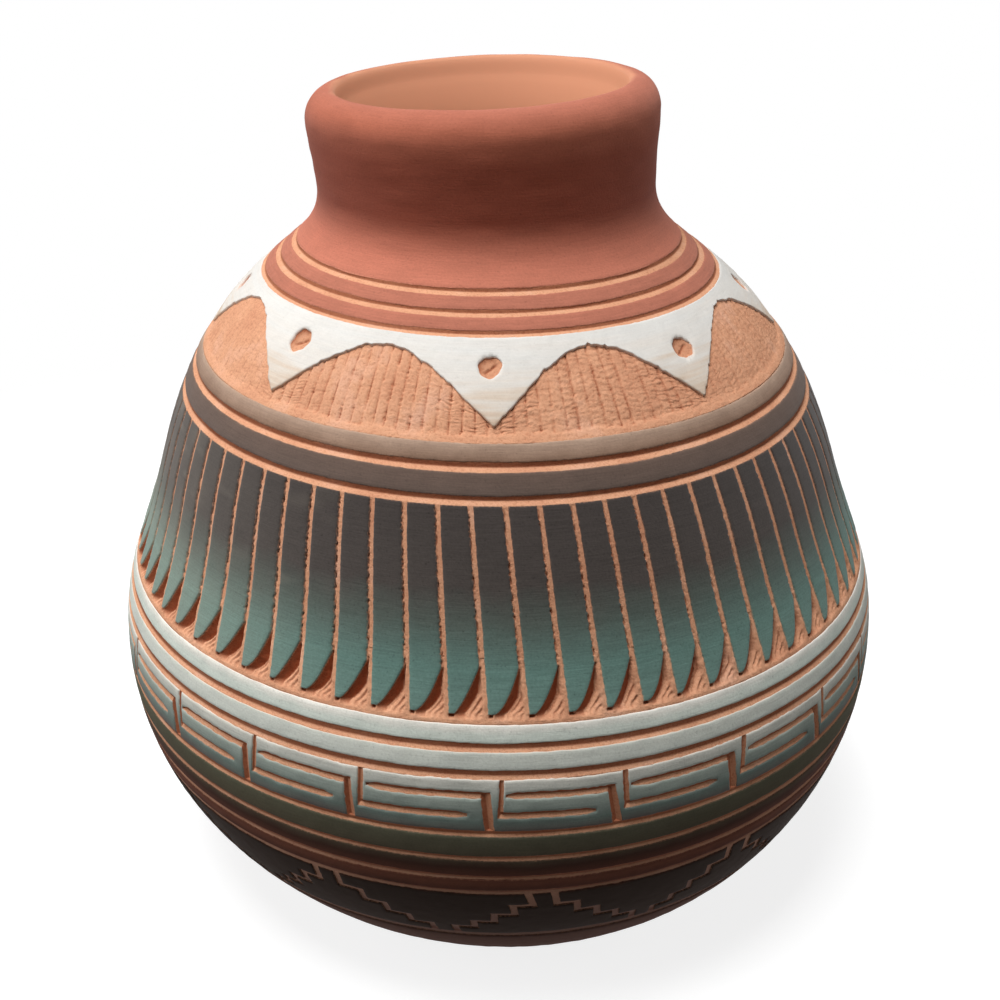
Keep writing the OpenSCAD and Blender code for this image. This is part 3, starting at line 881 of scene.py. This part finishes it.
cuts = cuts + 0.18 * in_lane * (0.4 + own) * (1 - 0.3 * woven)
cuts = cuts + 0.09 * chatter + 0.12 * woven * scallop * (0.5 + own)
depth = 0.06 + 0.24 * blend(s, scrape_low - 0.2, scrape_low + 1.8) + scraped * cuts
depth = depth + 0.025 * grain(angle, s, 600, 0.4, 334) + 0.02 * grain(angle, s, 200, 1.0, 335)
depth = depth + 0.035 * woven * grain(angle, s, 420, 0.5, 341)
# Painted shade in the seams, pits and chatter, and just under the step of each scallop
seam_line = np.exp(-((from_seam / 0.07) ** 2)) * blend(grain(angle, s, 500, 0.7, 340), -0.6, 0.4)
dark = 0.45 * blend(cuts, 0.14, 0.4) + 0.7 * seam_line * (1 - 0.4 * woven) + 0.14 * chatter
carve("scraped_hills", angle, s, depth, scraped * (dark + 0.16 * woven * blend(scallop, 0.6, 1.0)))

# %% [markdown]
# ## Feathers
# Seventy-two blades of charcoal slip that fades to teal hang side by side, parted by lines cut down to
# the clay, and a round gouge takes the lower right corner of each. Every blade is a strip: left edge,
# right edge, and a skin between them that runs down to the clay on both sides. A pale film lies on the
# left of the pot, partly dust and partly painted sheen of the light from the left.

# %% Sides of a feather
FEATHERS = 72
FEATHER_START = 2.3
TIP = 0.445
TIP_H = 5.4
feather_pitch = 360 / FEATHERS
feather_low, feather_high = tip_ring[1], root_ring[0]
tip_low, scoop_top = rise(TIP), rise(TIP + TIP_H / POT_H)


def slant(s):
    """Degrees by which a feather has moved to the right at run s: none at the root, two at the tip."""
    return 2.0 * (feather_high - s) / (feather_high - feather_low)


def hand_spacing(line):
    """Degrees by which a line is off its even place: a slow drift round the pot and a slip of the hand."""
    line = line % FEATHERS
    drift = 1.25 * (np.cos(np.radians(line * feather_pitch - 40)) - 1)
    left_side = (line * feather_pitch + 55 + 180) % 360 - 180
    drift = drift - 0.9 * np.exp(-((left_side / 14) ** 2))
    return drift + 0.15 * np.sin(12.9 * line + 1.0) + 0.08 * np.sin(7.3 * line)


def blade_sides(blade, s):
    """Left and right edge of a blade at run s; from the gouge down the right edge swings in to the tip."""
    half = feather_pitch / 2 - np.degrees(LINE_W / radius(feather_high)) / 2
    middle = FEATHER_START + (blade + 0.5) * feather_pitch + slant(s)
    left, right = middle - half + hand_spacing(blade), middle + half + hand_spacing(blade + 1)
    own = blade % FEATHERS
    u = np.clip((s - tip_low) / (scoop_top - tip_low - 0.25 * (1 + np.sin(5.1 * own))), 0, 1)
    return left, left + (right - left) * (0.15 + 0.85 * u ** (0.7 + 0.1 * np.sin(3.7 * own)))


print(f"one feather is {feather_pitch:.2f} degrees wide and {feather_high - tip_low:.1f} mm long")

# %% Edges of the feather blades
blade = np.arange(FEATHERS)[:, None, None]
s = np.append(lines([tip_low, scoop_top], 0.2, 0.1), lines([scoop_top, feather_high], 0.23, 0.1)[1:])
s = s[None, :, None]
rows = s.shape[1]
f = np.array([0, 0.06, 0.2, 0.5, 0.8, 0.94, 1.0])[None, None, :]
left, right = blade_sides(blade, s)
width = (right - left) * radius(s) * np.pi / 180
per_mm = np.degrees(1 / radius(s))
rough, smooth = grain(right, s, 720, 0.24, 350), grain(left, s, 720, 0.4, 351)
left = left + 0.05 * per_mm * smooth
right = right + (0.02 + 0.1 * blend(s, scoop_top - 0.3, scoop_top + 0.5)) * per_mm * rough
angle = left + (right - left) * f
edge = np.minimum(np.minimum(f, 1 - f) * width, np.minimum(s - tip_low, feather_high - s))
s = s + 0 * angle
print(f"feathers are up to {width.max():.2f} mm wide")

# %% Feather blades
BLADE_SEAT = RELIEF + 0.25
inward = blend(edge, 0, 0.18)
depth = BEVEL * (1 - inward) + LUMP * inward * grain(angle, s, 300, 1.1, 352)
wear = 1 - blend(edge, 0.0, 0.28)
angle = np.concatenate([angle, right + FLARE * per_mm, left - FLARE * per_mm], 2)
s = np.concatenate([s, s[:, :, :2]], 2)
depth = np.concatenate([depth, np.full((FEATHERS, rows, 2), BLADE_SEAT)], 2)
wear = np.concatenate([wear, np.ones((FEATHERS, rows, 2))], 2)
# The pale film, partly dust and partly painted sheen of the light from the left, grows to the left of
# the front, in wisps and more so lower down, and ends at the back
turned = -((angle + 180) % 360 - 180)
wisps = blend(grain(angle, s, 90, 1.5, 354) + grain(angle, s, 30, 4.0, 355), 0.5, 1.2)
lower = 1 - blend(s, 0.8 * feather_low + 0.2 * feather_high, 0.4 * feather_low + 0.6 * feather_high)
dusty = blend(turned, 25, 65) * (0.07 + 0.03 * grain(angle, s, 60, 3.0, 353))
dusty = dusty + 0.1 * lower * blend(turned, 15, 48) + 0.08 * wisps * blend(turned, 15, 45)
dusty = dusty * (1 - blend(turned, 95, 130))
# Charcoal that was sprayed over teal, rubbed to a faint sheen
shades = [(0, "#6e8c83"), (0.2, "#65857c"), (0.42, "#566059"), (0.6, "#4c4541"), (1, "#433c39")]
feather_slip = slip("charcoal_to_teal_slip", TIP, 0.65, shades, streak=0.12, speck=0.09, dust=0.1,
                    drift=1.6)
make_piece("feather_blades", pot(angle, s, depth), strips(FEATHERS, rows, angle.shape[2]),
           feather_slip, "feather_blades", "feather_slip", wear=wear, dusty=dusty)

# %% [markdown]
# ## Gouges at the tips
# Each gouge is a scoop cut down into the clay along the right edge of a blade: a wall that slopes away
# from the blade and lies in shadow, then a floor that rises to the right in curved ridges, up to a smooth
# strip beside the next blade. Above the gouges the same strip runs on as the right half of each line, and
# its left half is crumbled by the tool.

# %% Places between the feather tips
STRIP_W = 0.5
LINE_D = 0.16
GOUGE_ROWS = 46
PER_FEATHER = 28


def line_floor(x, wide, angle, s):
    """Depth of a feather line at x mm from its left edge: crumbled on the left, smooth on the right."""
    crumbs = blend(grain(angle, s, 1300, 0.32, 361), -0.2, 0.5)
    on_left = 1 - blend(x, wide - STRIP_W - 0.12, wide - STRIP_W + 0.08)
    return LINE_D + on_left * (0.05 + 0.26 * crumbs)


angle = even_angles(FEATHERS * PER_FEATHER)
s = np.linspace(gouge_low - OVERLAP, gouge_high, GOUGE_ROWS)[:, None]
angle, s = angle + 0 * s, s + 0 * angle
blade = np.floor((angle - FEATHER_START - slant(s)) / feather_pitch) + 1
for _ in range(2):
    blade = np.where(angle < blade_sides(blade, s)[0], blade - 1, blade)
right, next_left = blade_sides(blade, s)[1], blade_sides(blade + 1, s)[0]
x, wide = np.radians(angle - right) * radius(s), np.radians(next_left - right) * radius(s)
print(f"gouges are up to {wide.max():.1f} mm wide")

# %% Gouged tips
# From the blade a crescent slopes down in shadow, then the floor climbs in ridges up to the strip
u = np.clip((s - tip_low + 0.6) / (scoop_top - tip_low + 0.6), 0, 1)
bell = np.sin(np.pi * u**0.85) ** 0.6
hollow = np.maximum(wide - STRIP_W, 0.1)
crescent = np.minimum(1.3, 0.66 * hollow)
climb = blend(x, crescent, crescent + 0.2)
up_floor = 0.5 * (1 - np.clip((x - crescent) / (hollow - crescent), 0, 1))
scoop = np.clip(x / crescent, 0, 1) * (1 - climb) + climb * up_floor
arcs = (x - crescent) / 0.85 + 0.4 * np.sin(2.4 * blade) + 0.15 * grain(angle, s, 300, 2.0, 373)
tooth = arcs - np.floor(arcs)
ridge = np.minimum(tooth / 0.35, (1 - tooth) / 0.65) * climb * (1 - blend(x, hollow - 0.25, hollow))
below = np.clip((tip_low - s) / 0.15, 0, 1) * (1 - blend(tip_low - s, 0.25, 0.6)) * (x <= 0)
ledge = 0.1 + 0.06 * blend(s, gouge_low + 0.3, tip_low + 0.4)
rough = 0.05 * grain(angle, s, 1100, 0.35, 371) + 0.04 * grain(angle, s, 300, 0.9, 372)
line = (line_floor(x, wide, angle, s) - LINE_D) * blend(s, scoop_top - 1.5, scoop_top)
depth = ledge + 1.15 * bell * scoop + 0.4 * bell * ridge + 0.45 * below
depth = depth + blend(s, gouge_low, gouge_low + 0.5) * rough + line
depth = depth + 0.15 * blend(s, gouge_high - 0.3, gouge_high)
shade = blend(x, 0.0, 0.12) * (1 - blend(x, crescent - 0.05, crescent + 0.1)) * np.minimum(1, 1.5 * bell)
furrow = blend(tooth, 0.0, 0.12) * (1 - blend(tooth, 0.3, 0.42)) * (x < hollow - 0.2)
shade = np.maximum(shade + 0.7 * bell * climb * furrow, np.minimum(1, 2 * below)) + 2.2 * line
carve("gouged_tips", angle, s, depth, np.minimum(shade, 1), RELIEF + SINK + 0.4)

# %% Lines between the feathers
LINE_SEAT = RELIEF + 0.4
blade = np.arange(FEATHERS)[:, None, None]
s = lines([gouge_high - 0.5, feather_high + OVERLAP], 0.22, 0.1)[None, :, None]
rows = s.shape[1]
right, next_left = blade_sides(blade, s)[1], blade_sides(blade + 1, s)[0]
f = np.linspace(-0.2, 1.2, 13)[None, None, :]
angle = right + (next_left - right) * f
wide = np.radians(next_left - right) * radius(s)
s = s + 0 * angle
depth = line_floor(f * wide, wide, angle, s)
# Painted shade: a little on the whole line, more where its left half is crumbled
shade = 0.12 + 2.2 * (depth - LINE_D)
depth = depth + 0.02 * grain(angle, s, 900, 0.3, 362)
angle = np.concatenate([angle, angle[:, :, -1:], angle[:, :, :1]], 2)
s, shade = (np.concatenate([a, a[:, :, :2]], 2) for a in (s, shade))
depth = np.concatenate([depth, np.full((FEATHERS, rows, 2), LINE_SEAT)], 2)
make_piece("feather_lines", pot(angle, s, depth), strips(FEATHERS, rows, angle.shape[2]),
           clay_finish, "clay_body", "clay", deep=shade)

# %% [markdown]
# ## Key fret
# One band of slip, pale above and dark teal below, with the key line cut through it: one stroke comes
# down from the upper line and turns right, one rises from the lower line and turns left. The grid has a
# line on every edge of every stroke, and is then bent, because the strokes were drawn by hand: arms taper
# at their free ends and rising strokes slant. The clay in the strokes is a V whose depth grows with the
# distance to the stroke's edge, so that the strokes meet in mitred corners.

# %% Strokes of the key fret
KEYS = 22
KEY_START = 0.35
ARM_W = 1.0
RISE_W = 1.15
ARM_SHARES = (0.32, 0.71)
HEAD_GAP, FOOT_END, KEY_END = 0.02, 0.785, 0.94
# Walls of a stroke that look down or to the right are steep, those that look up are gentle
STEEP, GENTLE = 1.3, 0.75
KEY_TURN = np.array([0.1, -0.3, 0.6, 1.0, 0.6, 0.2, -0.4, -0.6, 0.1, 0.5, 0.3, -0.3, -0.5, 0.0, 0.4, 0.2,
                     -0.3, -0.1, 0.3, 0.5, -0.8, -1.2])
key_pitch = 360 / KEYS
fret_r = radius(fret_low)
arm = np.degrees(LINE_W / fret_r)
rise_arm = np.degrees(RISE_W / fret_r)
key_rise = KEY_END * key_pitch - rise_arm
lower_arm, upper_arm = (fret_low + share * (fret_high - fret_low) for share in ARM_SHARES)
lower_0, lower_1 = lower_arm - ARM_W / 2, lower_arm + ARM_W / 2
upper_0, upper_1 = upper_arm - ARM_W / 2, upper_arm + ARM_W / 2
head_start, foot_end = HEAD_GAP * key_pitch + arm, FOOT_END * key_pitch
key_end = key_rise + rise_arm
mitre = np.array([0, arm, head_start, foot_end, key_rise, key_end, key_pitch])
print(f"one key is {key_pitch:.2f} degrees wide and {fret_high - fret_low:.2f} mm tall")

# %% Shape of the strokes


def least(*distances):
    """Smallest of several distances at each place."""
    return np.minimum.reduce(np.broadcast_arrays(*distances))


def in_stroke(a, s):
    """Distance in mm to the edge of a stroke, at place a of a key in degrees and run s, below 0 outside."""
    k = fret_r * np.pi / 180
    to_right, to_end = k * (foot_end - a), k * (key_end - a)
    lower_low, lower_high = GENTLE * (s - lower_0), STEEP * (lower_1 - s)
    upper_low, upper_high = GENTLE * (s - upper_0), STEEP * (upper_1 - s)
    down = least(STEEP * k * a, k * (arm - a), lower_low)
    foot = least(STEEP * k * a, to_right, lower_low, lower_high)
    up = least(STEEP * k * (a - key_rise), to_end, upper_high)
    head = least(STEEP * k * (a - head_start), to_end, upper_low, upper_high)
    return np.maximum.reduce([down, foot, up, head])


def drawn(angle, s):
    """Angle and run as drawn by hand: arms taper, rising strokes slant, keys turn and every line wavers."""
    a = angle % key_pitch
    for end, way, mid in ((foot_end, 1, lower_arm), (head_start, -1, upper_arm)):
        past = way * np.radians(a - end) * fret_r
        near = blend(past, -1.5, 0) * (1 - blend(past, 0, 0.6))
        s = s - 0.6 * near * (s - mid) * (1 - blend(np.abs(s - mid), 0.5 * ARM_W, 1.2))
    aslant = np.interp(a, [0.8 * key_pitch, key_rise, key_end, key_pitch], [0, 1, 1, 0])
    angle = angle + 0.7 * aslant * np.clip((upper_1 - s) / (upper_1 - fret_low), 0, 1)
    turns = np.append(KEY_TURN, KEY_TURN[0])
    angle = angle + KEY_START + np.interp(angle, np.arange(KEYS + 1) * key_pitch, turns)
    angle = angle + 0.3 * grain(angle, s, 60, 9.0, 401)
    return angle, s + 0.1 * grain(angle, s, 60, 30.0, 402)


def all_round(count, marks):
    """Angles of a set of marks that is repeated so many times round the pot."""
    return (np.arange(count)[:, None] * (360 / count) + marks).ravel()


mid_rise = in_stroke(key_rise + rise_arm / 2, lower_arm)
print(f"middle of a rising stroke lies {float(mid_rise):.2f} mm from its edge")

# %% Key fret band
key_lines = lines(mitre, np.degrees(0.32 / fret_r), np.degrees(0.13 / fret_r))[:-1]
run_lines = lines([fret_low, lower_0, lower_1, upper_0, upper_1, fret_high], 0.35, 0.13)[:, None]
angle = all_round(KEYS, key_lines)
in_key = (angle + np.diff(np.append(angle, 360.0)) / 2) % key_pitch
keep = in_stroke(in_key, (run_lines[:-1] + run_lines[1:]) / 2) < 0
angle, s = drawn(angle + 0 * run_lines, run_lines + 0 * angle)
# Teal slip, pale at the top and darker downwards
shades = [(0, "#5e5550"), (0.2, "#66746d"), (0.6, "#a4aea5"), (1, "#e2ded4")]
fret_slip = slip("teal_slip_with_pale_top", 0.315, 0.382, shades, streak=0.08)
standing("key_fret_band", angle, s, keep, fret_slip, "teal_slip", 405, shake=0.08)

# %% Floor of the fret's strokes
ON_EDGE = -0.001
middles = [arm / 2, head_start + arm / 2, foot_end - arm / 2, key_rise + rise_arm / 2]
key_lines = lines(np.append(mitre, middles), 0.5, np.degrees(0.1 / fret_r))[:-1]
edges = [fret_low - OVERLAP, lower_0, lower_arm, lower_1, upper_0, upper_arm, upper_1, fret_high + OVERLAP]
angle = all_round(KEYS, key_lines)[None, :]
s = lines(edges, 0.35, 0.1)[:, None] + 0 * angle
within = in_stroke(angle % key_pitch, s)
upward, rightward = np.gradient(within)
shade = np.where((upward < -0.01) | (rightward > 0.01), 0.9, 0.5 * (rightward < -0.01))
shade = shade * (within > ON_EDGE)
angle, s = drawn(angle + 0 * s, s)
depth = np.where(within > ON_EDGE, LOW_RIM + 0.58 * within, BRIM)
depth = depth + 0.015 * grain(angle, s, 900, 0.4, 403)
carve("key_fret_floor", angle, s, depth, shade)

# %% [markdown]
# ## Steps
# Round the foot, stepped pyramids stand between stepped pendants, parted by one thin cut whose risers are
# wider than its treads. Both come from one grid with a line on every tread and riser, once with the
# pyramids kept and once with the pendants. The tiers are uneven and drift to the right, as a free hand
# drew them.

# %% Stepped pyramids and pendants
STEPS = 12
STEP_START = 6.4
TIERS = 5
RISER_W = 1.0
TOP_HALF, FOOT_HALF = 0.056, 0.444
TREADS = np.array([0.25, 0.45, 0.64, 0.81])
step_pitch = 360 / STEPS
step_low, step_high = foot_ring[1], step_ring[0]
riser = np.degrees(RISER_W / radius(step_high))
halves = step_pitch * np.linspace(TOP_HALF, FOOT_HALF, TIERS) - riser / 2
treads = step_high - (step_high - step_low) * TREADS
tread_low, tread_high = treads - STROKE_W / 2, treads + STROKE_W / 2
half_lines = lines(np.concatenate([[0], halves, halves + riser, [step_pitch / 2]]), 0.7, 0.12)
step_lines = np.concatenate([-half_lines[:0:-1], half_lines[:-1]])
run_lines = lines(np.concatenate([[step_low, step_high], tread_low, tread_high]), 0.6, 0.13)[:, None]
angle = all_round(STEPS, step_lines)
middle_a = angle + np.diff(np.append(angle, angle[0] + 360)) / 2
off = np.abs((middle_a + step_pitch / 2) % step_pitch - step_pitch / 2)
middle_s = (run_lines[:-1] + run_lines[1:]) / 2
pyramids = off < halves[(middle_s[:, :, None] < tread_low).sum(2)]
pendants = off > halves[(middle_s[:, :, None] < tread_high).sum(2)] + riser
s = run_lines + 0 * angle
angle = angle + STEP_START + 0 * s
angle = angle + 1.2 * (step_high - s) / (step_high - step_low) + 0.5 * grain(angle, s, 24, 6.0, 421)
s = s + 0.12 * grain(angle, s, 48, 30.0, 422)
standing("step_pyramids", angle, s, pyramids, dark_slip, "dark_slip", 425)
standing("step_pendants", angle, s, pendants, dark_slip, "dark_slip", 430)

# %% [markdown]
# ## Floor and light
# The photograph has a plain white ground and one broad soft light overhead, a little to the left, with
# hardly any light coming up from below. The floor is white to the camera, with a faint shadow near the
# pot, and a mid grey for the light that it throws back. It lies a tenth of a millimetre under the base,
# so that the two faces stay apart.

# %% Floor
FLOOR_Z = -0.1 * MM
FLOOR_REACH = 1.5
WHITE = hue("#ffffff")


def seen_ray(tree):
    """1 for a ray that shows the ground itself, straight, mirrored or through glass, and 0 for the rest."""
    path = add(tree, "LightPath", {})
    seen = path["Is Camera Ray"]
    for other in ("Is Glossy Ray", "Is Transmission Ray"):
        seen = add(tree, "Math", {0: seen, 1: path[other]}, operation="MAXIMUM")["Value"]
    return seen


material, tree = new_material("white_card")
place = add(tree, "TexCoord", {})["Object"]
away = add(tree, "VectorMath", {0: place}, operation="LENGTH")["Value"]
near = add(tree, "MapRange", {"Value": away, 1: 2.0 * BELLY_D * MM, 2: 0.8 * BELLY_D * MM})["Result"]
glow = add(tree, "Emission", {"Color": WHITE, "Strength": 0.82})["Emission"]
paper = add(tree, "BsdfDiffuse", {"Color": hue("#a8a8a8")})["BSDF"]
shaded = add(tree, "AddShader", {0: glow, 1: paper})["Shader"]
white = add(tree, "Emission", {"Color": WHITE, "Strength": 1.0})["Emission"]
ground = add(tree, "MixShader", {0: near, 1: white, 2: shaded})["Shader"]
card = add(tree, "BsdfDiffuse", {"Color": hue("#757270")})["BSDF"]
both = add(tree, "MixShader", {0: seen_ray(tree), 1: card, 2: ground})["Shader"]
add(tree, "OutputMaterial", {"Surface": both})
mesh = bpy.data.meshes.new("floor")
corners = np.array([[-1, -1], [1, -1], [1, 1], [-1, 1]]) * FLOOR_REACH
mesh.from_pydata(np.column_stack([corners, np.full(4, FLOOR_Z)]).tolist(), [], [(0, 1, 2, 3)])
mesh.materials.append(material)
floor_card = bpy.data.objects.new("floor", mesh)
bpy.context.collection.objects.link(floor_card)
floor_card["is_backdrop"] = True
print("floor is", 2 * FLOOR_REACH, "m wide")

# %% Light
world = bpy.data.worlds.new("studio")
bpy.context.scene.world = world
world.use_nodes = True
tree = world.node_tree
tree.nodes.clear()
fill = add(tree, "Background", {"Color": WHITE, "Strength": 0.065})["Background"]
white = add(tree, "Background", {"Color": WHITE, "Strength": 1.0})["Background"]
both = add(tree, "MixShader", {0: seen_ray(tree), 1: fill, 2: white})["Shader"]
add(tree, "OutputWorld", {"Surface": both})


def soft_light(name, angle, elevation, distance, size, power):
    """Square area lamp that looks at the pot's middle from an angle and an elevation in degrees."""
    a, e = np.radians(angle), np.radians(elevation)
    back = np.array([np.sin(a) * np.cos(e), -np.cos(a) * np.cos(e), np.sin(e)])
    side = np.array([np.cos(a), np.sin(a), 0.0])
    lamp = bpy.data.lights.new(name, "AREA")
    lamp.shape, lamp.size, lamp.energy = "SQUARE", size, power
    place = back * distance + np.array([0, 0, 0.6 * POT_H * MM])
    return stand(name, lamp, [side, np.cross(back, side), back], place)


soft_light("overhead", angle=-40, elevation=76, distance=1.0, size=0.5, power=10.8)
soft_light("left_card", angle=-88, elevation=14, distance=1.0, size=0.8, power=4.2)
soft_light("right_card", angle=88, elevation=14, distance=1.0, size=0.8, power=1.2)
scene = bpy.context.scene
scene.view_settings.view_transform = "Standard"

# %% [markdown]
# ## Size
# The dressed pot must keep the frame's size, so its box is printed.

# %% Print the size of the dressed pot
low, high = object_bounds()
print("visual box", np.round(np.array(low) / MM, 1), np.round(np.array(high) / MM, 1))
